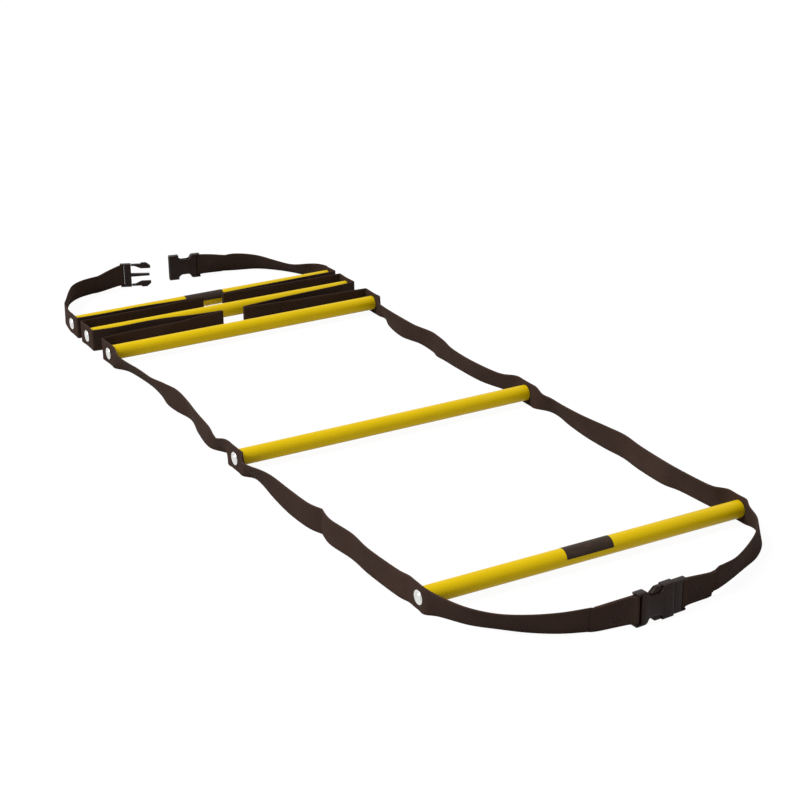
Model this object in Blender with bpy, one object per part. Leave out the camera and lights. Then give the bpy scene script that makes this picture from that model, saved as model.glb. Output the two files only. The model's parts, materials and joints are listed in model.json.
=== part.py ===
"""Agility ladder: five round rungs between two lengths of webbing that stand on edge.

Two bays lie laid out and two lie folded together at the far end. The near ends of the
webbing are clipped in a side-release buckle, and the far ends carry its two open halves.
X runs along the rungs, Y along the ladder to the far end, Z up. Sizes are in metres.
"""

import math

import bmesh
import bpy
from mathutils import Matrix, Vector

# Clearances
SEAT_GAP = 0.0003
FOLD_GAP = 0.0003
RIVET_CLEARANCE = 0.0003
PLUG_CLEARANCE = 0.0003
PRONG_CLEARANCE = 0.0003
BAR_CLEARANCE = 0.0003
CHEEK_CLEARANCE = 0.0005
CUT_OVERRUN = 0.002

# Rungs
RUNG_LENGTH = 0.500
TUBE_DIAMETER = 0.025
TUBE_WALL = 0.0018
TUBE_SIDES = 32

# Plug pressed into each end of a tube
PLUG_LENGTH = 0.022
PLUG_END_WALL = 0.004
PLUG_SKIRT_WALL = 0.0022
PLUG_BOSS_RADIUS = 0.0050
PLUG_BOSS_LENGTH = 0.017
PLUG_SIDES = 16

# Rivet through the webbing into the plug
RIVET_HEAD_RADIUS = 0.0100
RIVET_DOME_RADIUS = 0.0062
RIVET_RIM = 0.0007
RIVET_DOME = 0.0024
RIVET_SHANK_RADIUS = 0.0024
RIVET_SHANK_LENGTH = 0.016
RIVET_SIDES = 16

# Webbing
STRAP_WIDTH = 0.038
STRAP_THICKNESS = 0.002
HALF_STRAP_LENGTH = 0.229
TAB_REACH = 0.026
DOUBLED_LENGTH = 0.055
DOUBLING_STEP = 0.0015
STATION_SPACING = 0.014

# How the ladder lies: fold of each bay from laid straight, and each rung's shift sideways
BAY_FOLD_DEGREES = (0.0, 3.0, 83.9, 87.2)
RUNG_SIDE_LAY = (0.012, -0.003, 0.0, 0.0, 0.0)

# Side-release buckle: its widths follow the webbing's
SOCKET_CHEEK = 0.0030
BASE_CHEEK = 0.0025
MOUTH_MARGIN = 0.0010
WAIST_INSET = 0.0080
SOCKET_LENGTH = 0.059
SOCKET_MOUTH_LENGTH = 0.018
SOCKET_BAR_END_LENGTH = 0.016
SOCKET_THICKNESS = 0.0125
SOCKET_SIDE_WALL = 0.0022
SOCKET_FLOOR = 0.019
PRONG_THICKNESS = 0.0064
BASE_LENGTH = 0.020
BASE_THICKNESS = 0.0105
ARM_LENGTH = 0.036
ARM_BLADE = 0.0032
ARM_SHOULDER = 0.0020
ARM_PAD_DEPTH = 0.0085
GUIDE_LENGTH = 0.034
GUIDE_WIDTH = 0.0060
BAR_RADIUS = 0.0024
BAR_SIDES = 16
EYE_SIDES = 20
ARM_ROOT_STEPS = 6
BUCKLE_CORNER = 0.0030
BUCKLE_EDGE = 0.0008

# Edges sharper than these are shaded sharp, and eased on the buckle
SHADED_DEGREES = 35.0
EASED_DEGREES = 50.0

# Where the buckle halves part, from the middle of the end rung: along it, out from it
# and turned from it
NEAR_BUCKLE_ALONG = 0.011
NEAR_BUCKLE_OUT = 0.166
NEAR_BUCKLE_TURN = 4.0
FAR_SOCKET_ALONG = 0.012
FAR_SOCKET_OUT = 0.192
FAR_SOCKET_TURN = 170.0
FAR_PRONGS_ALONG = -0.065
FAR_PRONGS_OUT = 0.190
FAR_PRONGS_TURN = 157.0

# Lay of each half strap, near end to far end: share of its length, shift outwards as a
# share of the webbing's width, and lean of its top edge outwards in degrees
STRAP_LAY_SHARES = {
    "bay_1_left_near": ((0.1, 0.10, 0), (0.4, 0.14, 2), (0.62, 0.05, 0), (0.85, 0.14, 0)),
    "bay_1_left_far": (
        (0.12, 0.14, 0), (0.35, 0.14, 0), (0.6, 0.04, 8), (0.82, 0, 30), (0.93, 0, 32),
    ),
    "bay_1_right_near": (
        (0.12, -0.22, -14), (0.4, -0.24, -12), (0.55, -0.30, -2), (0.8, -0.18, 0),
    ),
    "bay_1_right_far": (
        (0.18, -0.06, -3), (0.4, -0.10, -12), (0.62, -0.02, -20), (0.79, 0.12, -26),
        (0.9, 0.10, -26),
    ),
    "bay_2_left_near": ((0.14, -0.08, 36), (0.3, 0.12, 4), (0.55, 0.05, 5), (0.8, -0.12, 12)),
    "bay_2_left_far": ((0.15, 0.04, 8), (0.32, -0.04, 26), (0.55, -0.14, 33), (0.87, -0.08, 32)),
    "bay_2_right_near": (
        (0.13, -0.05, -26), (0.4, -0.30, -20), (0.7, -0.24, -16), (0.88, -0.08, -6),
    ),
    "bay_2_right_far": (
        (0.1, 0.04, -6), (0.3, -0.10, -17), (0.5, -0.34, -6), (0.75, -0.32, -14),
        (0.92, -0.12, -24),
    ),
    "bay_3_left_near": ((0.2, 0.04, 0), (0.5, -0.10, -5), (0.8, -0.03, 3)),
    "bay_3_left_far": ((0.2, -0.04, 2), (0.5, -0.12, -6), (0.82, 0.05, 0)),
    "bay_3_right_near": ((0.2, 0, 0), (0.5, -0.08, 4), (0.8, -0.04, -3)),
    "bay_3_right_far": ((0.2, -0.03, -3), (0.5, -0.08, 5), (0.8, 0.03, 0)),
    "bay_4_left_near": ((0.25, 0.02, 0), (0.55, -0.06, -4), (0.8, -0.03, 0)),
    "bay_4_left_far": ((0.2, -0.03, 0), (0.5, -0.05, -4), (0.8, 0.02, 0)),
    "bay_4_right_near": ((0.25, 0, 0), (0.6, -0.06, 4), (0.85, -0.02, 0)),
    "bay_4_right_far": ((0.2, -0.03, 0), (0.5, -0.05, 4), (0.8, 0, 0)),
}

# Routes from an end rung to its buckle: shares of the rung's length along the rung and
# out from its middle, and lean of the top edge outwards in degrees. The last row is
# where the webbing is doubled back over the bar.
ROUTE_SHARES = {
    "near_left": (
        (-0.486, 0.058, 16), (-0.450, 0.136, 27), (-0.400, 0.196, 33), (-0.342, 0.248, 28),
        (-0.275, 0.288, 20), (-0.205, 0.312, 12),
    ),
    "near_right": (
        (0.496, 0.062, -17), (0.462, 0.128, -6), (0.400, 0.190, 13), (0.330, 0.238, 23),
        (0.250, 0.284, 19), (0.190, 0.308, 10),
    ),
    "far_left": (
        (-0.490, 0.105, 0), (-0.466, 0.165, -6), (-0.432, 0.240, -10), (-0.395, 0.305, -14),
        (-0.340, 0.350, -18), (-0.265, 0.372, -20),
    ),
    "far_right": (
        (0.488, 0.105, -20), (0.456, 0.170, -34), (0.412, 0.250, -35), (0.356, 0.318, -33),
        (0.282, 0.352, -25), (0.236, 0.366, -16),
    ),
}

# Outlines of the buckle and the rivet as shares of the lengths and radii they follow
WAIST_SHARES = (0.18, 0.82)
ARM_TIP_SHARE = 0.38
ARM_NECK_SHARE = 0.35
ARM_PAD_SHARE = 1.65
GUIDE_TIP_SHARE = 0.6
DOME_SHARE = 0.75

# Worked out from the sizes above
MERGE_DISTANCE = FOLD_GAP / 100
TUBE_RADIUS = TUBE_DIAMETER / 2
TUBE_BORE = TUBE_RADIUS - TUBE_WALL
STRAP_PLANE = RUNG_LENGTH / 2 + SEAT_GAP + STRAP_THICKNESS / 2
RUNG_HEIGHT = STRAP_WIDTH / 2
NOTCH_HALF_WIDTH = STRAP_WIDTH / 2 + CHEEK_CLEARANCE
SOCKET_BAR_END_WIDTH = 2 * (NOTCH_HALF_WIDTH + SOCKET_CHEEK)
SOCKET_MOUTH_WIDTH = SOCKET_BAR_END_WIDTH + 2 * MOUTH_MARGIN
SOCKET_WAIST_WIDTH = SOCKET_BAR_END_WIDTH - 2 * WAIST_INSET
BASE_WIDTH = 2 * (NOTCH_HALF_WIDTH + BASE_CHEEK)
BUCKLE_HEIGHT = SOCKET_MOUTH_WIDTH / 2
AXIS_OFFSET = STRAP_THICKNESS / 2 + FOLD_GAP / 2
CAVITY_HALF_WIDTH = SOCKET_MOUTH_WIDTH / 2 - SOCKET_SIDE_WALL
CAVITY_HALF_DEPTH = PRONG_THICKNESS / 2 + PRONG_CLEARANCE
EYE_BORE = BAR_RADIUS + BAR_CLEARANCE
EYE_RADIUS = EYE_BORE + STRAP_THICKNESS
NOTCH_DEPTH = BAR_RADIUS + EYE_RADIUS + BAR_CLEARANCE
SOCKET_BAR_PLACE = BAR_RADIUS - SOCKET_LENGTH
BASE_END = SEAT_GAP + BASE_LENGTH
BASE_BAR_PLACE = BASE_END - BAR_RADIUS
ARM_HALF_BLADE = ARM_BLADE / 2
ARM_AXIS_ALONG = -ARM_HALF_BLADE
ARM_AXIS_ACROSS = CAVITY_HALF_WIDTH - PRONG_CLEARANCE - ARM_HALF_BLADE
SIDES = {"left": -1, "right": 1}
BAYS = len(BAY_FOLD_DEGREES)
RUNGS = BAYS + 1
FIXED_RUNG = BAYS // 2


def clear_scene():
    for old in list(bpy.data.objects):
        bpy.data.objects.remove(old)


def finish(name, colour, roughness, metallic=0.0):
    made = bpy.data.materials.get(name) or bpy.data.materials.new(name)
    made.use_nodes = True
    shader = made.node_tree.nodes["Principled BSDF"]
    shader.inputs["Base Color"].default_value = (*colour, 1)
    shader.inputs["Roughness"].default_value = roughness
    shader.inputs["Metallic"].default_value = metallic
    made.diffuse_color = (*colour, 1)
    return made


def yellow_tube():
    return finish("yellow_tube", (0.72, 0.58, 0.01), 0.35)


def black_webbing():
    return finish("black_webbing", (0.030, 0.020, 0.016), 0.8)


def black_buckle_plastic():
    return finish("black_buckle_plastic", (0.015, 0.013, 0.012), 0.25)


def grey_plug_plastic():
    return finish("grey_plug_plastic", (0.10, 0.10, 0.10), 0.5)


def rivet_steel():
    return finish("rivet_steel", (0.70, 0.70, 0.68), 0.25, 1.0)


def hub(name, place, parent=None, turn=0.0):
    """An empty that carries pieces, on the axis they move about."""
    made = bpy.data.objects.new(name, None)
    bpy.context.scene.collection.objects.link(made)
    made.parent = parent
    made.location = place
    made.rotation_euler = (0, 0, math.radians(turn))
    return made


def placed(name, shape, look, parent, place=(0, 0, 0), turn=0.0):
    """A new object made from a bmesh, at its place under its parent."""
    mesh = bpy.data.meshes.new(name)
    shape.to_mesh(mesh)
    shape.free()
    mesh.materials.append(look)
    made = bpy.data.objects.new(name, mesh)
    bpy.context.scene.collection.objects.link(made)
    made.parent = parent
    made.location = place
    made.rotation_euler = (0, 0, turn)
    return made


def shade_round(made):
    made.data.shade_smooth()
    made.data.set_sharp_from_angle(angle=math.radians(SHADED_DEGREES))


def cutter(name, shape, parent, place=(0, 0, 0)):
    """A shape that cuts or joins another and isn't a piece itself."""
    made = placed(name, shape, grey_plug_plastic(), parent, place)
    made.hide_render = True
    made.display_type = "WIRE"
    return made


def boolean(target, tool, operation):
    modifier = target.modifiers.new(tool.name, "BOOLEAN")
    modifier.operation = operation
    modifier.object = tool
    modifier.solver = "EXACT"


def ease_edges(target):
    modifier = target.modifiers.new("edges", "BEVEL")
    modifier.width = BUCKLE_EDGE
    modifier.segments = 1
    modifier.limit_method = "ANGLE"
    modifier.angle_limit = math.radians(EASED_DEGREES)


def turned(profile, sides):
    """A solid turned about X from points of (along, radius)."""
    shape = bmesh.new()
    points = [shape.verts.new((along, 0, radius)) for along, radius in profile]
    edges = [shape.edges.new(pair) for pair in zip(points, points[1:] + points[:1])]
    bmesh.ops.spin(
        shape, geom=points + edges, cent=(0, 0, 0), axis=(1, 0, 0),
        angle=math.tau, steps=sides, use_merge=True,
    )
    bmesh.ops.remove_doubles(shape, verts=shape.verts, dist=MERGE_DISTANCE)
    bmesh.ops.dissolve_degenerate(shape, edges=shape.edges, dist=MERGE_DISTANCE)
    bmesh.ops.recalc_face_normals(shape, faces=shape.faces)
    return shape


def rod(radius, length, axis, sides):
    """A cylinder centred on the origin, along an axis."""
    shape = bmesh.new()
    bmesh.ops.create_cone(
        shape, cap_ends=True, segments=sides, radius1=radius, radius2=radius, depth=length
    )
    turn = Vector((0, 0, 1)).rotation_difference(Vector(axis)).to_matrix().to_4x4()
    bmesh.ops.transform(shape, matrix=turn, verts=shape.verts)
    return shape


def block(low, high):
    """A box between two corners."""
    shape = bmesh.new()
    bmesh.ops.create_cube(shape, size=1)
    size = [b - a for a, b in zip(low, high)]
    middle = [(a + b) / 2 for a, b in zip(low, high)]
    matrix = Matrix.Translation(middle) @ Matrix.Diagonal((*size, 1))
    bmesh.ops.transform(shape, matrix=matrix, verts=shape.verts)
    return shape


def plate(outline, half_depth):
    """A plate from an outline of (along, across, rounding), with its round corners."""
    shape = bmesh.new()
    corners = [shape.verts.new((along, -half_depth, across)) for along, across, _ in outline]
    shape.faces.new(corners)
    rounded = [corner for corner, entry in zip(corners, outline) if entry[2]]
    if rounded:
        bmesh.ops.bevel(
            shape, geom=rounded, offset=BUCKLE_CORNER, segments=3, profile=0.5,
            affect="VERTICES", material=-1, clamp_overlap=False,
        )
    grown = bmesh.ops.extrude_face_region(shape, geom=shape.faces[:], use_keep_orig=True)
    moved = [item for item in grown["geom"] if isinstance(item, bmesh.types.BMVert)]
    bmesh.ops.translate(shape, vec=(0, 2 * half_depth, 0), verts=moved)
    bmesh.ops.recalc_face_normals(shape, faces=shape.faces)
    return shape


def both_sides(half_outline):
    """An outline closed by the mirror image of its upper half."""
    return (*half_outline, *((x, -z, rounded) for x, z, rounded in reversed(half_outline)))


def smooth_route(points):
    """Rows on a smooth curve through the given ones, about a station's spacing apart."""
    ends = [points[0], *points, points[-1]]
    route = [points[0]]
    for before, start, end, after in zip(ends, ends[1:], ends[2:], ends[3:]):
        steps = max(1, round(math.dist(start[:2], end[:2]) / STATION_SPACING))
        for step in range(1, steps + 1):
            t = step / steps
            row = [
                b + ((c - a) * t + (2 * a - 5 * b + 4 * c - d) * t ** 2
                     + (3 * b - a - 3 * c + d) * t ** 3) / 2
                for a, b, c, d in zip(before, start, end, after)
            ]
            route.append(tuple(row))
    return route


def edge_height(lean, half):
    """Height of the webbing's middle when its lower edge is on the floor."""
    return STRAP_WIDTH / 2 * math.cos(lean) + half * abs(math.sin(lean))


def strap_section(row, heading):
    """Corners of the webbing's section at a row of (x, y, lift, lean, half thickness)."""
    x, y, lift, lean, half = row
    left = Vector((-heading.y, heading.x, 0))
    rise = (Vector((0, 0, math.cos(lean))) + left * math.sin(lean)) * STRAP_WIDTH / 2
    across = (left * math.cos(lean) - Vector((0, 0, math.sin(lean)))) * half
    middle = Vector((x, y, edge_height(lean, half) + lift))
    return (
        middle - rise - across, middle - rise + across,
        middle + rise + across, middle + rise - across,
    )


def webbing(rows, first_heading, last_heading):
    """Webbing extruded from row to row, with its end faces square to the headings."""
    shape = bmesh.new()
    sections = []
    for index, row in enumerate(rows):
        before = Vector(rows[max(index - 1, 0)][:2])
        after = Vector(rows[min(index + 1, len(rows) - 1)][:2])
        heading = (after - before).normalized()
        if index == 0:
            heading = first_heading
        if index == len(rows) - 1:
            heading = last_heading
        sections.append(strap_section(row, heading))
    face = shape.faces.new([shape.verts.new(corner) for corner in sections[0]])
    for number, (old, new) in enumerate(zip(sections, sections[1:])):
        grown = bmesh.ops.extrude_face_region(
            shape, geom=[face, *face.edges], use_keep_orig=number == 0
        )
        face = next(item for item in grown["geom"] if isinstance(item, bmesh.types.BMFace))
        for vert in face.verts:
            corner = min(range(4), key=lambda k: (vert.co - old[k]).length)
            vert.co = new[corner]
    bmesh.ops.recalc_face_normals(shape, faces=shape.faces)
    return shape


def turned_flat(vector, angle):
    """A floor vector turned to the left by an angle."""
    return Matrix.Rotation(angle, 2) @ Vector(vector)


def rung_centres():
    """Middle of each rung on the floor, from the near one to the far one."""
    centres = [Vector((RUNG_SIDE_LAY[0], 0))]
    for bay in range(BAYS):
        chord = 2 * HALF_STRAP_LENGTH * math.cos(math.radians(BAY_FOLD_DEGREES[bay]))
        shift = RUNG_SIDE_LAY[bay + 1] - RUNG_SIDE_LAY[bay]
        forward = math.sqrt(chord ** 2 - shift ** 2) + 2 * TAB_REACH
        centres.append(centres[-1] + Vector((shift, forward)))
    return centres


def fold_axes(bay, side):
    """A bay's three fold axes on one side: at its near rung, mid bay, at its far rung."""
    centres = rung_centres()
    offset = SIDES[side] * (STRAP_PLANE - AXIS_OFFSET)
    near = centres[bay] + Vector((offset, TAB_REACH))
    far = centres[bay + 1] + Vector((offset, -TAB_REACH))
    fold = SIDES[side] * math.radians(BAY_FOLD_DEGREES[bay])
    tip = near + turned_flat((far - near).normalized(), fold) * HALF_STRAP_LENGTH
    return near, tip, far


def rung_axis(rung):
    """Where a rung's assembly turns: its left fold axis towards the fixed rung."""
    if rung < FIXED_RUNG:
        return fold_axes(rung, "left")[0]
    if rung > FIXED_RUNG:
        return fold_axes(rung - 1, "left")[2]
    return rung_centres()[rung]


def tube(name, carrier, place):
    half = RUNG_LENGTH / 2
    shape = turned(
        ((-half, TUBE_BORE), (-half, TUBE_RADIUS), (half, TUBE_RADIUS), (half, TUBE_BORE)),
        TUBE_SIDES,
    )
    shade_round(placed(name, shape, yellow_tube(), carrier, place))


def end_plug(name, carrier, place, turn):
    """Cup pressed into a tube's end, with a boss that the rivet's shank sits in."""
    outer = TUBE_BORE - PLUG_CLEARANCE
    inner = outer - PLUG_SKIRT_WALL
    bore = RIVET_SHANK_RADIUS + RIVET_CLEARANCE
    shape = turned(
        (
            (0, bore), (0, outer), (-PLUG_LENGTH, outer), (-PLUG_LENGTH, inner),
            (-PLUG_END_WALL, inner), (-PLUG_END_WALL, PLUG_BOSS_RADIUS),
            (-PLUG_BOSS_LENGTH, PLUG_BOSS_RADIUS), (-PLUG_BOSS_LENGTH, bore),
        ),
        PLUG_SIDES,
    )
    shade_round(placed(name, shape, grey_plug_plastic(), carrier, place, turn))


def rivet(name, carrier, place, turn):
    """Flanged dome outside the webbing, on a shank that ends inside the plug's boss."""
    seat = SEAT_GAP + STRAP_THICKNESS + SEAT_GAP
    tip = seat - RIVET_SHANK_LENGTH
    rim = seat + RIVET_RIM
    shape = turned(
        (
            (tip, 0), (tip, RIVET_SHANK_RADIUS), (seat, RIVET_SHANK_RADIUS),
            (seat, RIVET_HEAD_RADIUS), (rim, RIVET_HEAD_RADIUS), (rim, RIVET_DOME_RADIUS),
            (rim + RIVET_DOME * DOME_SHARE, RIVET_DOME_RADIUS * DOME_SHARE),
            (rim + RIVET_DOME, 0),
        ),
        RIVET_SIDES,
    )
    shade_round(placed(name, shape, rivet_steel(), carrier, place, turn))


def rivet_hole(target, carrier, place):
    reach = STRAP_THICKNESS + CUT_OVERRUN
    shape = rod(RIVET_SHANK_RADIUS + RIVET_CLEARANCE, 2 * reach, (1, 0, 0), RIVET_SIDES)
    boolean(target, cutter(f"{target.name}_hole", shape, carrier, place), "DIFFERENCE")


def rung_tab(name, carrier, place):
    """Webbing held flat against a rung's end, between two folds."""
    half = STRAP_THICKNESS / 2
    reach = TAB_REACH - FOLD_GAP / 2
    shape = block((-half, -reach, -STRAP_WIDTH / 2), (half, reach, STRAP_WIDTH / 2))
    rivet_hole(placed(name, shape, black_webbing(), carrier, place), carrier, place)


def rung_assembly(rung, ladder):
    """A rung with its plugs and rivets, and the webbing held to its ends."""
    axis = rung_axis(rung)
    number = rung + 1
    carrier = hub(f"rung_{number}_axis", (*axis, 0), ladder)
    centre = Vector((*(rung_centres()[rung] - axis), RUNG_HEIGHT))
    tube(f"rung_{number}_tube", carrier, centre)
    for side, sign in SIDES.items():
        end = centre + Vector((sign * RUNG_LENGTH / 2, 0, 0))
        turn = 0 if side == "right" else math.pi
        end_plug(f"rung_{number}_{side}_end_plug", carrier, end, turn)
        rivet(f"rung_{number}_{side}_rivet", carrier, end, turn)
        if 0 < rung < RUNGS - 1:
            middle = centre + Vector((sign * STRAP_PLANE, 0, 0))
            rung_tab(f"rung_{number}_{side}_tab", carrier, middle)


def half_strap(bay, side, half, ladder):
    """Webbing from a rung's tab to the fold at mid bay, its origin on the axis it turns on."""
    name = f"bay_{bay + 1}_{side}_{half}"
    near, tip, far = fold_axes(bay, side)
    start, end = (near, tip) if half == "near" else (tip, far)
    tip_share = 1 if half == "near" else 0
    forward = bay >= FIXED_RUNG
    pivot, other = (start, end) if forward else (end, start)
    outward = -SIDES[side] if forward else SIDES[side]
    lay = ((0, 0, 0), *STRAP_LAY_SHARES[name], (1, 0, 0))
    rows = []
    for share, shift, degrees in lay if forward else reversed(lay):
        along = share if forward else 1 - share
        reach = FOLD_GAP / 2 + along * (HALF_STRAP_LENGTH - FOLD_GAP)
        hung = AXIS_OFFSET * (2 * abs(share - tip_share) - 1) + shift * STRAP_WIDTH
        lean = math.radians(degrees) * outward
        rows.append((reach, hung * outward, 0, lean, STRAP_THICKNESS / 2))
    square = Vector((1, 0))
    shape = webbing(smooth_route(rows), square, square)
    turn = math.atan2(other.y - pivot.y, other.x - pivot.x)
    placed(f"{name}_strap", shape, black_webbing(), ladder, (*pivot, 0), turn)


def end_strap(end, side, carrier, centre, bar):
    """Webbing from the first fold past the rivet of an end rung, and on to a buckle's bar."""
    out = -1 if end == "near" else 1
    left = -SIDES[side] * out
    plain = STRAP_THICKNESS / 2
    edge = SIDES[side] * STRAP_PLANE
    rows = [
        (edge, out * (FOLD_GAP / 2 - TAB_REACH), 0, 0, plain),
        (edge, 0, 0, 0, plain),
        (edge, out * TUBE_RADIUS, 0, 0, plain),
    ]
    table = ROUTE_SHARES[f"{end}_{side}"]
    for along, away, degrees in table[:-1]:
        lean = math.radians(degrees) * left
        rows.append((along * RUNG_LENGTH, out * away * RUNG_LENGTH, 0, lean, plain))
    along, away, degrees = table[-1]
    lean = math.radians(degrees) * left
    run = (bar - Vector((along, out * away)) * RUNG_LENGTH).normalized()
    doubling = bar - run * DOUBLED_LENGTH
    neck = bar - run * 2 * EYE_RADIUS
    lift = BUCKLE_HEIGHT - STRAP_WIDTH / 2
    rows = smooth_route([*rows, (*doubling, 0, lean, plain)])
    thick = (*(doubling + run * DOUBLING_STEP), 0, lean, STRAP_THICKNESS)
    rows += smooth_route([thick, (*neck, lift, 0, STRAP_THICKNESS)])
    rows.append((*bar, lift, 0, STRAP_THICKNESS))
    shape = webbing(rows, Vector((0, out)), run)
    bmesh.ops.translate(shape, vec=(*centre, 0), verts=shape.verts)
    made = placed(f"{end}_{side}_strap", shape, black_webbing(), carrier)
    at_bar = (*(bar + centre), BUCKLE_HEIGHT)
    eye = rod(EYE_RADIUS, STRAP_WIDTH - SEAT_GAP, (0, 0, 1), EYE_SIDES)
    bore = rod(EYE_BORE, STRAP_WIDTH + CUT_OVERRUN, (0, 0, 1), BAR_SIDES)
    boolean(made, cutter(f"{made.name}_eye", eye, carrier, at_bar), "UNION")
    boolean(made, cutter(f"{made.name}_bore", bore, carrier, at_bar), "DIFFERENCE")
    rivet_hole(made, carrier, (edge + centre.x, centre.y, RUNG_HEIGHT))


def buckle_bar(target, carrier, along):
    """The bar that the webbing goes round, joined to the cheeks either side of it."""
    length = 2 * NOTCH_HALF_WIDTH + CUT_OVERRUN
    shape = rod(BAR_RADIUS, length, (0, 0, 1), BAR_SIDES)
    boolean(target, cutter(f"{target.name}_bar", shape, carrier, (along, 0, 0)), "UNION")


def socket(name, carrier):
    """Buckle half that takes the prongs, open at the mouth and at both sides of its waist."""
    bar_end = -SOCKET_LENGTH
    flange = bar_end + SOCKET_BAR_END_LENGTH
    waist = -SOCKET_MOUTH_LENGTH - flange
    half_waist = SOCKET_WAIST_WIDTH / 2
    outline = both_sides(
        (
            (bar_end + NOTCH_DEPTH, NOTCH_HALF_WIDTH, False),
            (bar_end, NOTCH_HALF_WIDTH, False),
            (bar_end, SOCKET_BAR_END_WIDTH / 2, False),
            (flange, SOCKET_BAR_END_WIDTH / 2, True),
            (flange + WAIST_SHARES[0] * waist, half_waist, True),
            (flange + WAIST_SHARES[1] * waist, half_waist, True),
            (-SOCKET_MOUTH_LENGTH, CAVITY_HALF_WIDTH - SOCKET_SIDE_WALL, False),
            (-SOCKET_MOUTH_LENGTH, SOCKET_MOUTH_WIDTH / 2, False),
            (0, SOCKET_MOUTH_WIDTH / 2, False),
        )
    )
    made = placed(name, plate(outline, SOCKET_THICKNESS / 2), black_buckle_plastic(), carrier)
    ease_edges(made)
    buckle_bar(made, carrier, SOCKET_BAR_PLACE)
    cavity = block(
        (bar_end + SOCKET_FLOOR, -CAVITY_HALF_DEPTH, -CAVITY_HALF_WIDTH),
        (CUT_OVERRUN, CAVITY_HALF_DEPTH, CAVITY_HALF_WIDTH),
    )
    boolean(made, cutter(f"{name}_cavity", cavity, carrier), "DIFFERENCE")


def prong_base(name, carrier):
    """Body of the pronged half, with its bar and the guide between its arms."""
    notch = BASE_END - NOTCH_DEPTH
    outline = both_sides(
        (
            (SEAT_GAP, BASE_WIDTH / 2, False),
            (BASE_END, BASE_WIDTH / 2, False),
            (BASE_END, NOTCH_HALF_WIDTH, False),
            (notch, NOTCH_HALF_WIDTH, False),
        )
    )
    made = placed(name, plate(outline, BASE_THICKNESS / 2), black_buckle_plastic(), carrier)
    ease_edges(made)
    buckle_bar(made, carrier, BASE_BAR_PLACE)
    half_guide = (
        (notch / 2, GUIDE_WIDTH / 2, False),
        (-GUIDE_LENGTH, GUIDE_WIDTH / 2 * GUIDE_TIP_SHARE, False),
    )
    guide = plate(both_sides(half_guide), PRONG_THICKNESS / 2)
    boolean(made, cutter(f"{name}_guide", guide, carrier), "UNION")


def arm(name, carrier, side):
    """Springy arm whose shoulder catches behind the socket's mouth, on its flexing axis."""
    shoulder = -SOCKET_MOUTH_LENGTH - PRONG_CLEARANCE - ARM_AXIS_ALONG
    tip = -ARM_LENGTH - ARM_AXIS_ALONG
    inner = ARM_HALF_BLADE - ARM_PAD_DEPTH
    caught = ARM_HALF_BLADE + ARM_SHOULDER
    angles = [math.pi * step / ARM_ROOT_STEPS for step in range(ARM_ROOT_STEPS + 1)]
    root = [(math.sin(a) * ARM_HALF_BLADE, math.cos(a) * ARM_HALF_BLADE) for a in angles]
    outline = (
        *root,
        (shoulder * ARM_NECK_SHARE, -ARM_HALF_BLADE),
        (shoulder, inner),
        (tip, inner),
        (tip, inner * ARM_TIP_SHARE),
        (shoulder * ARM_PAD_SHARE, caught),
        (shoulder, caught),
        (shoulder, ARM_HALF_BLADE),
    )
    shape = plate([(x, z * side, False) for x, z in outline], PRONG_THICKNESS / 2)
    place = (ARM_AXIS_ALONG, 0, side * ARM_AXIS_ACROSS)
    placed(name, shape, black_buckle_plastic(), carrier, place)


def buckle_half(kind, end, carrier, place, turn):
    """A half of a buckle on its own hub, and its bar's place on the floor."""
    frame = hub(f"{end}_{kind}_middle", (*place, BUCKLE_HEIGHT), carrier, turn)
    along = turned_flat((1, 0), math.radians(turn))
    if kind == "socket":
        socket(f"{end}_socket", frame)
        return place + along * SOCKET_BAR_PLACE
    prong_base(f"{end}_prong_base", frame)
    arm(f"{end}_upper_arm", frame, 1)
    arm(f"{end}_lower_arm", frame, -1)
    return place + along * BASE_BAR_PLACE


def ladder_end(end, rung, halves):
    """The straps that leave an end rung, with the buckle halves that they carry."""
    carrier = bpy.data.objects[f"rung_{rung + 1}_axis"]
    centre = rung_centres()[rung] - rung_axis(rung)
    for side, kind, along, out, turn in halves:
        bar = buckle_half(kind, end, carrier, centre + Vector((along, out)), turn)
        end_strap(end, side, carrier, centre, bar - centre)


def near_end():
    halves = (
        ("left", "socket", NEAR_BUCKLE_ALONG, -NEAR_BUCKLE_OUT, NEAR_BUCKLE_TURN),
        ("right", "prongs", NEAR_BUCKLE_ALONG, -NEAR_BUCKLE_OUT, NEAR_BUCKLE_TURN),
    )
    ladder_end("near", 0, halves)


def far_end():
    halves = (
        ("left", "prongs", FAR_PRONGS_ALONG, FAR_PRONGS_OUT, FAR_PRONGS_TURN),
        ("right", "socket", FAR_SOCKET_ALONG, FAR_SOCKET_OUT, FAR_SOCKET_TURN),
    )
    ladder_end("far", RUNGS - 1, halves)


def centre_on_floor(ladder):
    """Stand the whole ladder on the floor with the middle of its box at the origin."""
    bpy.context.view_layer.update()
    evaluated = bpy.context.evaluated_depsgraph_get()
    corners = []
    for made in bpy.data.objects:
        if made.type == "MESH" and not made.hide_render:
            solid = made.evaluated_get(evaluated)
            corners += [solid.matrix_world @ vertex.co for vertex in solid.data.vertices]
    low = [min(corner[axis] for corner in corners) for axis in range(3)]
    high = [max(corner[axis] for corner in corners) for axis in range(3)]
    ladder.location = (-(low[0] + high[0]) / 2, -(low[1] + high[1]) / 2, -low[2])
    bpy.context.view_layer.update()


def build():
    clear_scene()
    ladder = hub("ladder", (0, 0, 0))
    for rung in range(RUNGS):
        rung_assembly(rung, ladder)
    for bay in range(BAYS):
        for side in SIDES:
            for half in ("near", "far"):
                half_strap(bay, side, half, ladder)
    near_end()
    far_end()
    centre_on_floor(ladder)


build()
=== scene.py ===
"""Looks for the agility ladder: webbing, rungs, rivets and buckles on the fixed frame."""
import json
import math

import bmesh
import bpy
from mathutils import Matrix, Vector

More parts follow.
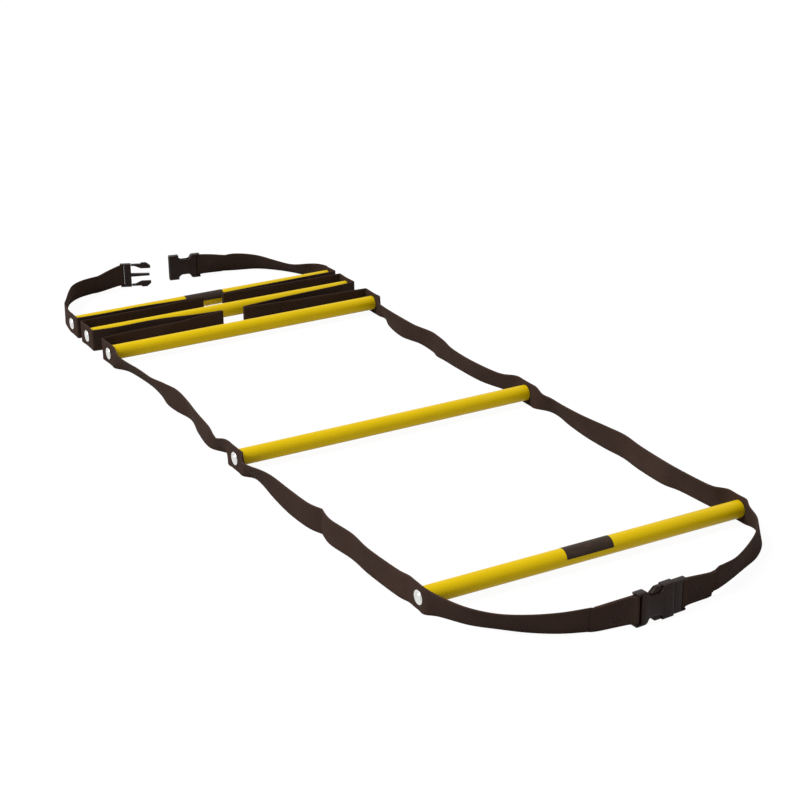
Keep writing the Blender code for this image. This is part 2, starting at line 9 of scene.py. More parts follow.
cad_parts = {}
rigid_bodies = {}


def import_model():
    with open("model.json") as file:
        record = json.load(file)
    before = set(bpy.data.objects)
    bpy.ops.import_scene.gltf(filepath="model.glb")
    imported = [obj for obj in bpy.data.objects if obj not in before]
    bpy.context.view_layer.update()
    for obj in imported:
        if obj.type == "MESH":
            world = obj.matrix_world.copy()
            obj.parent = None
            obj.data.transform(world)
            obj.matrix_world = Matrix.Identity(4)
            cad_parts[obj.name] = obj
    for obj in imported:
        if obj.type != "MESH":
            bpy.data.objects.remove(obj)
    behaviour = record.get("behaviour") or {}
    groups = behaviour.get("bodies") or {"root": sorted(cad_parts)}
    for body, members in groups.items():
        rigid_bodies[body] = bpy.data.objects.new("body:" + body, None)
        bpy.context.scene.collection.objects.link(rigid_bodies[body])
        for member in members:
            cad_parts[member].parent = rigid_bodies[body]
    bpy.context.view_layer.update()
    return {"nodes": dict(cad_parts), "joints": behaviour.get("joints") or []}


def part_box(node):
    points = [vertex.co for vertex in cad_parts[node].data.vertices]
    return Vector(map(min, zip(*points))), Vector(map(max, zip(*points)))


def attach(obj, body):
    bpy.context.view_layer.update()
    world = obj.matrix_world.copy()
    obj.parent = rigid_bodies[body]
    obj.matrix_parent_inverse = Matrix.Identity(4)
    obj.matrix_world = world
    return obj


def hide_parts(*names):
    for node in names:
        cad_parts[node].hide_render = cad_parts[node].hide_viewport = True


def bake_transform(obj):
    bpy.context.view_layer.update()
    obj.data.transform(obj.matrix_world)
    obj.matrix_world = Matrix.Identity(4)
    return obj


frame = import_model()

bl_info = {
    "name": "Agility ladder",
    "version": (1, 0, 0),
    "blender": (4, 5, 0),
    "location": "View3D > Sidebar > Ladder",
    "description": "Webbing, rungs, rivets and buckles of an agility ladder",
    "category": "Object",
}

MERGE_DISTANCE = 1e-6
SIDES = {"left": -1, "right": 1}
RUNGS = 5
BAYS = 4
END_RUNGS = {"near": 1, "far": RUNGS}
END_OUT = {"near": -1, "far": 1}
UPRIGHT = Vector((0, 0, 0))

PIVOTS = {
    frozenset((joint["parent"], joint["child"])): Vector(joint["pos_m"])
    for joint in frame["joints"]
}


def box_middle(node):
    low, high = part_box(node)
    return (low + high) / 2


def box_size(node):
    low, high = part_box(node)
    return high - low


# Sizes read from the frame
TAB_SIZE = box_size("rung_3_left_tab")
STRAP_THICKNESS = TAB_SIZE.x
STRAP_WIDTH = TAB_SIZE.z
TAB_HALF = TAB_SIZE.y / 2
TUBE_SIZE = box_size("rung_3_tube")
TUBE_RADIUS = TUBE_SIZE.z / 2
RUNG_LENGTH = TUBE_SIZE.x
STRAP_PLANE = box_middle("rung_3_right_tab").x - box_middle("rung_3_tube").x
AXIS_OFFSET = abs(
    box_middle("rung_3_left_tab").x - PIVOTS[frozenset(("rung_3_ends", "bay_3_left_near"))].x
)
BUCKLE_HEIGHT = box_middle("near_socket").z
RIVET_SIZE = box_size("rung_1_left_rivet")

# Camera, from the middle of the first rung
CAMERA_FROM_RUNG = Vector((-1.2825, -1.8110, 1.0985))
CAMERA_YAW = 29.09
CAMERA_PITCH = 21.84
CAMERA_ROLL = -0.77
CAMERA_LENS = 85.09
CAMERA_SENSOR = 36.0
CAMERA_CLIP = (0.01, 200)

# Light and floor
ROOM_FILL = 0.38
LAMP_STRENGTH = 2.7
LAMP_SPREAD = 28
LAMP_TURN = (-6, -38)
FLOOR_REACH = 40
FLOOR_GREY = (0.60, 0.60, 0.60)
FLOOR_GLOW = 1.1
FLOOR_GLOW_SHARE = 0.86
WHITE = (1, 1, 1, 1)

# Rivet and label; the hollow lies between the rolled rim and the dome, each point as its
# rise over the roll's radius and its radius over the flange's
SHANK_END_RADIUS = 0.0023
SHANK_SEAT_RADIUS = 0.0024
RIVET_CAP = 0.0031
RIVET_ROLL = 0.00055
RIVET_HOLLOW = ((1.5, 0.86), (1.3, 0.70))
RIVET_DOME_SHARE = 0.62
DOME_STEPS = 6
LABEL_ANGLES = (9, 124)
LABEL_GRID = (24, 16)

# Buckle, in the frame of the line where its halves part
SOCKET_LENGTH = 0.059
MOUTH_LENGTH = 0.018
MOUTH_WIDTH = 0.047
WAIST_WIDTH = 0.029
BAR_END_WIDTH = 0.045
BAR_END_LENGTH = 0.016
SOCKET_THICKNESS = 0.0125
SOCKET_SIDE_WALL = 0.0022
SOCKET_FLOOR = 0.019
PRONG_THICKNESS = 0.0064
CAVITY_DEPTH = 0.0070
PARTING = 0.0003
BASE_LENGTH = 0.020
BASE_WIDTH = 0.044
BASE_THICKNESS = 0.0105
ARM_LENGTH = 0.036
ARM_BLADE = 0.0032
ARM_SHOULDER = 0.0020
ARM_PAD_DEPTH = 0.0085
GUIDE_LENGTH = 0.034
GUIDE_WIDTH = 0.006
BAR_RADIUS = 0.0024
BAR_CLEARANCE = 0.0003
CHEEK_CLEARANCE = 0.0005
NOTCH_HALF = STRAP_WIDTH / 2 + CHEEK_CLEARANCE
EYE_MIDDLE = BAR_RADIUS + BAR_CLEARANCE + STRAP_THICKNESS / 2
EYE_OUTSIDE = BAR_RADIUS + BAR_CLEARANCE + STRAP_THICKNESS
NOTCH_DEPTH = BAR_RADIUS + EYE_OUTSIDE + BAR_CLEARANCE
SOCKET_BAR_PLACE = BAR_RADIUS - SOCKET_LENGTH
BASE_BAR_PLACE = PARTING + BASE_LENGTH - BAR_RADIUS
CAVITY_HALF = MOUTH_WIDTH / 2 - SOCKET_SIDE_WALL
ARM_ACROSS = CAVITY_HALF - PARTING - ARM_BLADE / 2
ARM_OUTLINE_STEPS = 6
ARM_NECK_SHARE = 0.35
ARM_CATCH_SHARE = 1.55
ARM_TIP_SHARE = 0.38
ARM_CORNER = 0.0012
ARM_RIM = 0.0004
WAIST_SHARES = (0.18, 0.82)
BUCKLE_CORNER = 0.003
BAR_IN_CHEEKS = 0.002
CUT_BEYOND = 0.002
SOCKET_RIBS = (-0.005, -0.009, -0.013)
SOCKET_RIB_HALF = CAVITY_HALF * 0.8
BASE_RIBS = (0.003, 0.0065)
BASE_RIB_HALF = BASE_WIDTH * 0.32
RIB_RADIUS_SHARE = 1.6
GUIDE_TIP_HALF = GUIDE_WIDTH * 0.3
GUIDE_CORNER = 0.0015

# Where each buckle half's parting line lies from its end rung: metres along it and out
# from it, turn in degrees
BUCKLE_LAY = {
    ("near", "socket"): (0.011, 0.166, 4.0),
    ("near", "prongs"): (0.011, 0.166, 4.0),
    ("far", "socket"): (0.012, 0.192, 170.0),
    ("far", "prongs"): (-0.065, 0.190, 157.0),
}
BUCKLE_HALF_ON = {
    ("near", "left"): "socket",
    ("near", "right"): "prongs",
    ("far", "left"): "prongs",
    ("far", "right"): "socket",
}

# Doubled end of an end strap, and the box sewn across it
DOUBLED_LENGTH = 0.055
DOUBLING_RAMP = 0.006
DOUBLED_LEAN_SHARE = 0.85
LAYER_GAP = 0.00005
EYE_ANGLES = (-80, -45, 0, 45, 80)
SEWN_FROM_BAR = (0.034, 0.013)
SEWN_INSET = 0.005
SEWN_DROP = 0.0008
SEWN_LINES = ((0, 1), (1, 2), (2, 3), (3, 0), (0, 2), (1, 3))
STITCH_PROUD = 0.0002
STITCH_SPACING_SHARE = 1.35

# Section of the webbing, and how it goes round a fold
SECTION_STEPS = 8
SELVEDGE_SHARE = 0.3
SELVEDGE_DEPTH_SHARE = 0.72
SLIGHT_FOLD = math.radians(20)
TIGHT_FOLD = math.radians(120)
FOLD_BEND_SHARE = 0.9
ROW_BEND_SHARE = 1.25

# Lay of each half strap from its near end to its far end: share of its length, shift
# outwards as a share of the webbing's width, lean of its top edge outwards in degrees
STRAP_LAY_SHARES = {
    "bay_1_left_near": ((0.1, 0.10, 0), (0.4, 0.14, 2), (0.62, 0.05, 0), (0.85, 0.14, 0)),
    "bay_1_left_far": (
        (0.12, 0.14, 0), (0.35, 0.14, 0), (0.6, 0.04, 8), (0.82, 0, 30), (0.93, 0, 32),
    ),
    "bay_1_right_near": (
        (0.04, -0.06, -8), (0.12, -0.20, -13), (0.4, -0.24, -12), (0.55, -0.30, -2),
        (0.8, -0.18, 0),
    ),
    "bay_1_right_far": (
        (0.18, -0.06, -3), (0.4, -0.10, -12), (0.62, -0.02, -20), (0.79, 0.12, -26),
        (0.9, 0.10, -26),
    ),
    "bay_2_left_near": ((0.14, -0.08, 36), (0.3, 0.12, 4), (0.55, 0.05, 5), (0.8, -0.12, 12)),
    "bay_2_left_far": ((0.15, 0.04, 8), (0.32, -0.04, 26), (0.55, -0.14, 33), (0.87, -0.08, 32)),
    "bay_2_right_near": (
        (0.13, -0.05, -26), (0.4, -0.30, -20), (0.7, -0.24, -16), (0.88, -0.08, -6),
    ),
    "bay_2_right_far": (
        (0.1, 0.04, -6), (0.3, -0.10, -17), (0.5, -0.34, -6), (0.75, -0.32, -14),
        (0.92, -0.12, -24),
    ),
    "bay_3_left_near": ((0.2, 0.02, 8), (0.45, -0.08, 12), (0.62, -0.10, -4), (0.8, -0.03, 3)),
    "bay_3_left_far": ((0.2, -0.04, 2), (0.5, -0.12, -6), (0.82, 0.05, 0)),
    "bay_3_right_near": ((0.2, 0, 0), (0.5, -0.08, 4), (0.8, -0.04, -3)),
    "bay_3_right_far": ((0.2, -0.03, -3), (0.5, -0.08, 5), (0.8, 0.03, 0)),
    "bay_4_left_near": ((0.25, 0.02, 0), (0.55, -0.06, -4), (0.8, -0.03, 0)),
    "bay_4_left_far": ((0.2, -0.03, 0), (0.5, -0.05, -4), (0.8, 0.02, 0)),
    "bay_4_right_near": ((0.25, 0, 0), (0.6, -0.06, 4), (0.85, -0.02, 0)),
    "bay_4_right_far": ((0.2, -0.03, 0), (0.5, -0.05, 4), (0.8, 0, 0)),
}

# Routes from an end rung to its buckle: shares of the rung's length along the rung and
# out from its middle, and lean of the top edge outwards in degrees
ROUTE_SHARES = {
    ("near", "left"): (
        (-0.486, 0.058, 16), (-0.450, 0.136, 27), (-0.400, 0.196, 33), (-0.342, 0.248, 28),
        (-0.275, 0.288, 20), (-0.205, 0.312, 12),
    ),
    ("near", "right"): (
        (0.495, 0.062, -17), (0.460, 0.134, -12), (0.403, 0.193, -4), (0.331, 0.239, 8),
        (0.250, 0.284, 14), (0.190, 0.308, 10),
    ),
    ("far", "left"): (
        (-0.490, 0.105, 0), (-0.466, 0.165, -6), (-0.432, 0.240, -10), (-0.395, 0.305, -14),
        (-0.340, 0.350, -18), (-0.265, 0.372, -20),
    ),
    ("far", "right"): (
        (0.488, 0.105, -30), (0.456, 0.170, -46), (0.412, 0.250, -42), (0.356, 0.318, -29),
        (0.282, 0.352, -16), (0.236, 0.366, -24),
    ),
}

# Lift of each row of a route in metres, where the single webbing ends above the doubled
ROUTE_LIFTS = {("near", "right"): (0, 0, 0, 0.001, 0.003, 0.005)}


def length_property(name, description, default):
    return bpy.props.FloatProperty(
        name=name, description=description, default=default, min=0, precision=5,
        unit="LENGTH", subtype="DISTANCE",
    )


def colour_property(name, description, default):
    return bpy.props.FloatVectorProperty(
        name=name, description=description, default=default, min=0, max=1,
        size=3, subtype="COLOR",
    )


class LadderSizes(bpy.types.PropertyGroup):
    """Sizes of the finishing detail."""

    row_spacing: length_property("Row spacing", "Distance between rows along the webbing", 0.004)
    selvedge: length_property("Selvedge", "Rounding of the webbing's long edges", 0.0008)
    fold_radius: length_property("Fold radius", "Radius that folded webbing keeps", 0.0022)
    fold_clearing: length_property("Fold clearing", "Webbing left free beside a fold", 0.016)
    rib_width: length_property("Rib width", "Width of one rib of the weave", 0.0024)
    pick_pitch: length_property("Pick pitch", "Distance between picks along the weave", 0.0013)
    tube_lip: length_property("Tube lip", "Rounding of a tube's cut ends", 0.0006)
    label_length: length_property("Label length", "Length of the label on an end rung", 0.073)
    label_shift: length_property("Label shift", "Label's place left of a rung's middle", 0.0025)
    label_film: length_property("Label film", "Thickness of the label", 0.00025)
    buckle_round: length_property("Buckle rounding", "Rounding of the buckle's edges", 0.0014)
    rib_height: length_property("Grip rib height", "Height of the buckle's grip ribs", 0.0006)
    stitch_length: length_property("Stitch length", "Length of one stitch", 0.0032)
    thread_radius: length_property("Thread radius", "Radius of the sewing thread", 0.00035)


class LadderColours(bpy.types.PropertyGroup):
    """Colours of the finishes."""

    tube: colour_property("Tube", "Yellow of the rungs", (0.80, 0.55, 0.002))
    rubbed_tube: colour_property("Rubbed tube", "Rungs where scuffed", (0.74, 0.52, 0.06))
    webbing: colour_property("Webbing", "Warm black of the webbing", (0.050, 0.0295, 0.022))
    thread: colour_property("Thread", "Sewing thread", (0.050, 0.038, 0.032))
    buckle: colour_property("Buckle", "Black of the buckles", (0.020, 0.011, 0.009))
    rivet: colour_property("Rivet", "Steel of the rivets", (0.74, 0.74, 0.72))
    plug: colour_property("Plug", "Plastic of the end plugs", (0.09, 0.09, 0.09))
    label: colour_property("Label", "Film of the bare labels", (0.036, 0.022, 0.015))


class Value:
    """A shader socket that Python's operators turn into Math nodes."""

    def __init__(self, nodes, socket):
        self.nodes = nodes
        self.socket = socket

    def maths(self, operation, *values):
        inputs = dict(enumerate(values))
        return self.nodes.add("ShaderNodeMath", {"operation": operation}, inputs)

    def __add__(self, other):
        return self.maths("ADD", self, other)

    def __radd__(self, other):
        return self.maths("ADD", other, self)

    def __sub__(self, other):
        return self.maths("SUBTRACT", self, other)

    def __rsub__(self, other):
        return self.maths("SUBTRACT", other, self)

    def __mul__(self, other):
        return self.maths("MULTIPLY", self, other)

    def __rmul__(self, other):
        return self.maths("MULTIPLY", other, self)

    def __truediv__(self, other):
        return self.maths("DIVIDE", self, other)

    def __abs__(self):
        return self.maths("ABSOLUTE", self)

    def fraction(self):
        return self.maths("FRACT", self)

    def sine(self):
        return self.maths("SINE", self)

    def larger(self, other):
        return self.maths("MAXIMUM", self, other)

    def step_between(self, low, high):
        """0 below low, 1 above high, smooth between them."""
        inputs = {"Value": self, "From Min": low, "From Max": high}
        return self.nodes.add("ShaderNodeMapRange", {"interpolation_type": "SMOOTHSTEP"}, inputs)


class Nodes:
    """A node tree while it is being put together."""

    def __init__(self, tree):
        self.tree = tree

    def feed(self, socket, value):
        if isinstance(value, Value):
            self.tree.links.new(value.socket, socket)
        else:
            socket.default_value = value

    def add(self, kind, settings=None, inputs=None, output=0):
        node = self.tree.nodes.new(kind)
        for name, value in (settings or {}).items():
            setattr(node, name, value)
        for key, value in (inputs or {}).items():
            self.feed(node.inputs[key], value)
        return Value(self, node.outputs[output])

    def seen_directly(self):
        """1 for rays from the camera, and for what gloss and glass show."""
        camera, gloss, glass = (
            self.add("ShaderNodeLightPath", output=f"Is {kind} Ray")
            for kind in ("Camera", "Glossy", "Transmission")
        )
        return camera.larger(gloss).larger(glass)


class Look(Nodes):
    """A material of a piece."""

    def __init__(self, name, specular=0.5, metallic=0.0):
        self.material = bpy.data.materials.new(name)
        self.material.use_nodes = True
        super().__init__(self.material.node_tree)
        self.shader = self.tree.nodes["Principled BSDF"]
        self.set("Specular IOR Level", specular)
        self.set("Metallic", metallic)

    def set(self, socket, value):
        self.feed(self.shader.inputs[socket], value)

    def mix(self, factor, first, second):
        inputs = {0: factor, 6: first, 7: second}
        return self.add("ShaderNodeMix", {"data_type": "RGBA"}, inputs, output=2)

    def place(self):
        return self.add("ShaderNodeTexCoord", output=3)

    def stretched(self, scale):
        inputs = {"Vector": self.place(), "Scale": scale}
        return self.add("ShaderNodeMapping", {"vector_type": "POINT"}, inputs)

    def noise(self, scale, detail, vector=None):
        inputs = {"Vector": vector or self.place(), "Scale": scale, "Detail": detail}
        return self.add("ShaderNodeTexNoise", None, inputs)

    def strip(self):
        """How far along and across the webbing a point is, in metres."""
        uv = self.add("ShaderNodeUVMap", {"uv_map": "strip"})
        along = self.add("ShaderNodeSeparateXYZ", None, {0: uv}, output=0)
        across = self.add("ShaderNodeSeparateXYZ", None, {0: uv}, output=1)
        return along, across

    def finished(self, colour, roughness, height, depth, strength=1.0):
        """The material with its colour, its roughness and a relief that deep in metres."""
        self.set("Base Color", colour)
        self.set("Roughness", roughness)
        inputs = {"Height": height, "Distance": depth, "Strength": strength}
        self.set("Normal", self.add("ShaderNodeBump", None, inputs))
        return self.material


def opaque(colour, level=1.0):
    return (*(part * level for part in colour), 1.0)


def webbing_look(sizes, colours):
    """Herringbone ribs that run along the webbing, with worn and dusty patches."""
    look = Look("woven_webbing", specular=0.04)
    along, across = look.strip()
    rib = abs((across / sizes.rib_width).fraction() - 0.5)
    pick = ((along / sizes.pick_pitch + rib * 1.6) * math.tau).sine() * 0.5 + 0.5
    groove = rib.step_between(0.36, 0.5)
    height = pick * (1 - groove)
    patches = look.noise(scale=14, detail=4).step_between(0.35, 0.75)
    fibres = look.noise(scale=1400, detail=2)
    edge = abs(across).step_between(STRAP_WIDTH * 0.44, STRAP_WIDTH * 0.5)
    thread = look.mix(height, opaque(colours.webbing, 0.62), opaque(colours.webbing, 1.18))
    worn = look.mix(patches * 0.35, thread, opaque(colours.webbing, 1.45))
    colour = look.mix(edge * 0.4, worn, opaque(colours.webbing, 1.7))
    return look.finished(colour, fibres * 0.12 + 0.80, height + fibres * 0.25, 0.00022, 0.8)


def thread_look(colours):
    """Twisted thread."""
    look = Look("sewing_thread", specular=0.3)
    twist = look.noise(scale=1800, detail=2)
    colour = look.mix(twist, opaque(colours.thread, 0.7), opaque(colours.thread, 1.3))
    return look.finished(colour, twist * 0.2 + 0.6, twist, 0.00012)


def tube_look(colours):
    """Extruded plastic with faint lines along the tube, scuffs and slight clouding."""
    look = Look("yellow_tube_plastic", specular=0.10)
    drawn = look.noise(scale=60, detail=3, vector=look.stretched((0.04, 4.0, 4.0)))
    scuffs = look.noise(scale=90, detail=6, vector=look.stretched((0.5, 1.6, 1.6)))
    scuffs = scuffs.step_between(0.60, 0.74)
    clouds = look.noise(scale=7, detail=2)
    plain = look.mix(clouds, opaque(colours.tube, 0.93), opaque(colours.tube, 1.06))
    rubbed = look.mix(scuffs * 0.22, plain, opaque(colours.rubbed_tube))
    colour = look.mix(drawn * 0.10, rubbed, opaque(colours.tube, 0.72))
    roughness = drawn * 0.10 + scuffs * 0.22 + 0.30
    return look.finished(colour, roughness, drawn * 0.5 + scuffs * 0.5, 0.00006, 0.5)


def buckle_look(colours):
    """Moulded plastic with a fine grain and rubbed patches."""
    look = Look("moulded_buckle_plastic", specular=0.10)
    grain = look.noise(scale=2600, detail=2)
    rubbed = look.noise(scale=110, detail=5).step_between(0.56, 0.72)
    colour = look.mix(rubbed * 0.5, opaque(colours.buckle), opaque(colours.buckle, 1.9))
    return look.finished(colour, grain * 0.08 + rubbed * 0.14 + 0.26, grain, 0.00005, 0.4)


def rivet_look(colours):
    """Plated steel with fine scratches and small dull spots."""
    look = Look("plated_steel", metallic=1.0)
    scratches = look.noise(scale=900, detail=3, vector=look.stretched((1.0, 0.2, 1.0)))
    spots = look.noise(scale=260, detail=4).step_between(0.62, 0.74)
    colour = look.mix(spots, opaque(colours.rivet), opaque(colours.rivet, 0.62))
    roughness = scratches * 0.14 + spots * 0.20 + 0.16
    return look.finished(colour, roughness, scratches, 0.00003, 0.5)


def plug_look(colours):
    """Grained plastic."""
    look = Look("plug_plastic", specular=0.4)
    grain = look.noise(scale=1500, detail=3)
    colour = look.mix(grain, opaque(colours.plug, 0.8), opaque(colours.plug, 1.2))
    return look.finished(colour, grain * 0.15 + 0.45, grain, 0.00008, 0.6)


def label_look(colours):
    """Dark film, bare, rubbed a little paler in places."""
    look = Look("label_film", specular=0.12)
    rubbed = look.noise(scale=120, detail=5, vector=look.stretched((0.4, 1.0, 1.0)))
    rubbed = rubbed.step_between(0.52, 0.74)
    colour = look.mix(rubbed * 0.4, opaque(colours.label), opaque(colours.label, 2.4))
    return look.finished(colour, rubbed * 0.15 + 0.48, rubbed, 0.00004, 0.4)


def dress(piece_mesh, material):
    piece_mesh.materials.clear()
    piece_mesh.materials.append(material)


def plain_object(name, shape):
    mesh = bpy.data.meshes.new(name)
    shape.to_mesh(mesh)
    shape.free()
    made = bpy.data.objects.new(name, mesh)
    bpy.context.scene.collection.objects.link(made)
    return made


def new_piece(name, shape, material, body=None, replaced=()):
    """A finished piece from a bmesh, at the origin, riding on a body."""
    piece = plain_object(name, shape)
    dress(piece.data, material)
    if replaced:
        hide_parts(*replaced)
    if body:
        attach(piece, body)
    return piece


def smooth_all(shape, degrees=40.0):
    """Round shading, broken at edges sharper than the angle."""
    limit = math.radians(degrees)
    for face in shape.faces:
        face.smooth = True
    for edge in shape.edges:
        edge.smooth = len(edge.link_faces) == 2 and edge.calc_face_angle(0) < limit


def turned(profile, steps):
    """A shape turned about X from points of (along, radius)."""
    shape = bmesh.new()
    points = [shape.verts.new((along, 0, radius)) for along, radius in profile]
    edges = [shape.edges.new(pair) for pair in zip(points, points[1:] + points[:1])]
    bmesh.ops.spin(
        shape, geom=points + edges, cent=(0, 0, 0), axis=(1, 0, 0),
        angle=math.tau, steps=steps, use_merge=True,
    )
    bmesh.ops.remove_doubles(shape, verts=shape.verts, dist=MERGE_DISTANCE)
    bmesh.ops.dissolve_degenerate(shape, edges=shape.edges, dist=MERGE_DISTANCE)
    bmesh.ops.recalc_face_normals(shape, faces=shape.faces)
    smooth_all(shape)
    return shape


def corner_arc(along, radius, size, start, end, steps=4):
    """Points on a rounded corner about (along, radius), between two angles in degrees."""
    angles = [math.radians(start + (end - start) * step / steps) for step in range(steps + 1)]
    return [(along + size * math.cos(a), radius + size * math.sin(a)) for a in angles]


def rung_tube(rung, sizes, material):
    """A rung's tube, its bore just clear of the plugs and its cut ends rounded."""
    lip = sizes.tube_lip
    half = RUNG_LENGTH / 2
    bore = box_size(f"rung_{rung}_left_end_plug").z / 2 + PARTING
    profile = [
        *corner_arc(half - lip, TUBE_RADIUS - lip, lip, 90, 0),
        *corner_arc(half - lip, bore + lip, lip, 0, -90),
        *corner_arc(lip - half, bore + lip, lip, -90, -180),
        *corner_arc(lip - half, TUBE_RADIUS - lip, lip, 180, 90),
    ]
    shape = turned(profile, steps=64)
    middle = box_middle(f"rung_{rung}_tube")
    bmesh.ops.translate(shape, vec=middle, verts=shape.verts)
    nodes = (f"rung_{rung}_tube",)
    new_piece(f"rung_{rung}_tube_skin", shape, material, f"rung_{rung}", nodes)


def rivet_head(rung, side, material):
    """Rolled flange and domed cap, on the shank that goes into the plug."""
    node = f"rung_{rung}_{side}_rivet"
    low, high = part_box(node)
    flange = RIVET_SIZE.z / 2
    roll = RIVET_ROLL
    seat = high.x - low.x - RIVET_CAP
    dome = flange * RIVET_DOME_SHARE
    profile = [(0, 0), (0, SHANK_END_RADIUS), (seat, SHANK_SEAT_RADIUS), (seat, flange - roll)]
    profile += corner_arc(seat + roll, flange - roll, roll, 120, 20)
    profile += [(seat + roll * rise, flange * share) for rise, share in RIVET_HOLLOW]
    hollow = roll * RIVET_HOLLOW[-1][0]
    for step in range(DOME_STEPS + 1):
        angle = math.radians(90 * step / DOME_STEPS)
        rise = seat + hollow + (RIVET_CAP - hollow) * math.sin(angle)
        profile.append((rise, dome * math.cos(angle)))
    shape = turned(profile, steps=48)
    outward = SIDES[side]
    inner_end = low.x if outward > 0 else high.x
    middle = (low + high) / 2
    turn = Matrix.Rotation(0 if outward > 0 else math.pi, 4, "Z")
    place = Matrix.Translation((inner_end, middle.y, middle.z)) @ turn
    bmesh.ops.transform(shape, matrix=place, verts=shape.verts)
    new_piece(f"{node}_head", shape, material, f"rung_{rung}_ends", (node,))


def label_patch(rung, sizes, material):
    """Film wrapped over the upper front of an end rung."""
    half = sizes.label_length / 2
    low_angle, high_angle = (math.radians(degrees) for degrees in LABEL_ANGLES)
    shape = bmesh.new()
    columns, rows = LABEL_GRID
    bmesh.ops.create_grid(shape, x_segments=columns, y_segments=rows, size=1)
    radius = TUBE_RADIUS + sizes.label_film
    middle = box_middle(f"rung_{rung}_tube")
    for vert in shape.verts:
        along = vert.co.x * half
        angle = low_angle + (high_angle - low_angle) * (vert.co.y + 1) / 2
        around = Vector((0, -math.cos(angle), math.sin(angle))) * radius
        vert.co = middle + Vector((along - sizes.label_shift, 0, 0)) + around
    bmesh.ops.solidify(shape, geom=shape.faces[:], thickness=sizes.label_film)
    bmesh.ops.recalc_face_normals(shape, faces=shape.faces)
    smooth_all(shape)
    new_piece(f"rung_{rung}_label", shape, material, f"rung_{rung}")


def fold_pairs(bay, side):
    """The bodies on either side of a bay's three folds, from near to far."""
    near, far = f"bay_{bay}_{side}_near", f"bay_{bay}_{side}_far"
    chain = (f"rung_{bay}_ends", near, far, f"rung_{bay + 1}_ends")
    return [frozenset(pair) for pair in zip(chain, chain[1:])]


def fold_axes(bay, side):
    """A bay's three fold axes on one side, an open one found from the other side's."""
    near, tip, far = (PIVOTS.get(pair) for pair in fold_pairs(bay, side))
    left_near, left_tip, left_far = (PIVOTS[pair] for pair in fold_pairs(bay, "left"))
    if far is None:
        far = left_far + near - left_near
    if tip is None:
        chord = (left_far - left_near).normalized()
        bow = left_tip - left_near
        tip = near + 2 * bow.dot(chord) * chord - bow
    return [near, tip, far]


def left_of(heading):
    return Vector((-heading.y, heading.x, 0)).normalized()


def control(place, tilt, lift=0.0):
    """A row of the webbing: its middle on the floor, lift, and where its top edge leans."""
    return (place.x, place.y, lift, tilt.x, tilt.y)


def flat(row):
    """A row's middle on the floor."""
    return Vector((row[0], row[1], 0))


def half_controls(bay, side, half):
    """Rows of a half strap from its near fold to its far one."""
    near, tip, far = fold_axes(bay, side)
    start, end = (near, tip) if half == "near" else (tip, far)
    heading = (end - start).normalized()
    outward = left_of(heading) * -SIDES[side]
    rows = []
    lay = ((0, 0, 0), *STRAP_LAY_SHARES[f"bay_{bay}_{side}_{half}"], (1, 0, 0))
    for share, shift, degrees in lay:
        from_tip = 1 - share if half == "near" else share
        hung = AXIS_OFFSET * (2 * from_tip - 1) + shift * STRAP_WIDTH
        place = start + (end - start) * share + outward * hung
        rows.append(control(place, outward * math.sin(math.radians(degrees))))
    return rows


def tab_controls(rung, side):
    """Rows where the webbing is flat against a rung's end, with the rivet's row in the middle."""
    middle = box_middle(f"rung_{rung}_tube")
    edge = middle.x + SIDES[side] * STRAP_PLANE
    steps = (-TAB_HALF, -TUBE_RADIUS, 0, TUBE_RADIUS, TAB_HALF)
    return [control(Vector((edge, middle.y + step, 0)), UPRIGHT) for step in steps]


def buckle_frame(end, kind):
    """The place and turn of a buckle half's parting line."""
    along, out, turn = BUCKLE_LAY[end, kind]
    centre = box_middle(f"rung_{END_RUNGS[end]}_tube")
    place = Vector((centre.x + along, centre.y + END_OUT[end] * out, BUCKLE_HEIGHT))
    return Matrix.Translation(place) @ Matrix.Rotation(math.radians(turn), 4, "Z")


def bar_place(end, side):
    """The place on the floor under the bar that an end strap goes round."""
    kind = BUCKLE_HALF_ON[end, side]
    along = SOCKET_BAR_PLACE if kind == "socket" else BASE_BAR_PLACE
    place = buckle_frame(end, kind) @ Vector((along, 0, 0))
    return Vector((place.x, place.y, 0))


def route_places(end, side):
    """The places on the floor of an end strap's route."""
    centre = box_middle(f"rung_{END_RUNGS[end]}_tube")
    out = END_OUT[end]
    return [
        Vector((centre.x + along * RUNG_LENGTH, centre.y + out * away * RUNG_LENGTH, 0))
        for along, away, _ in ROUTE_SHARES[end, side]
    ]


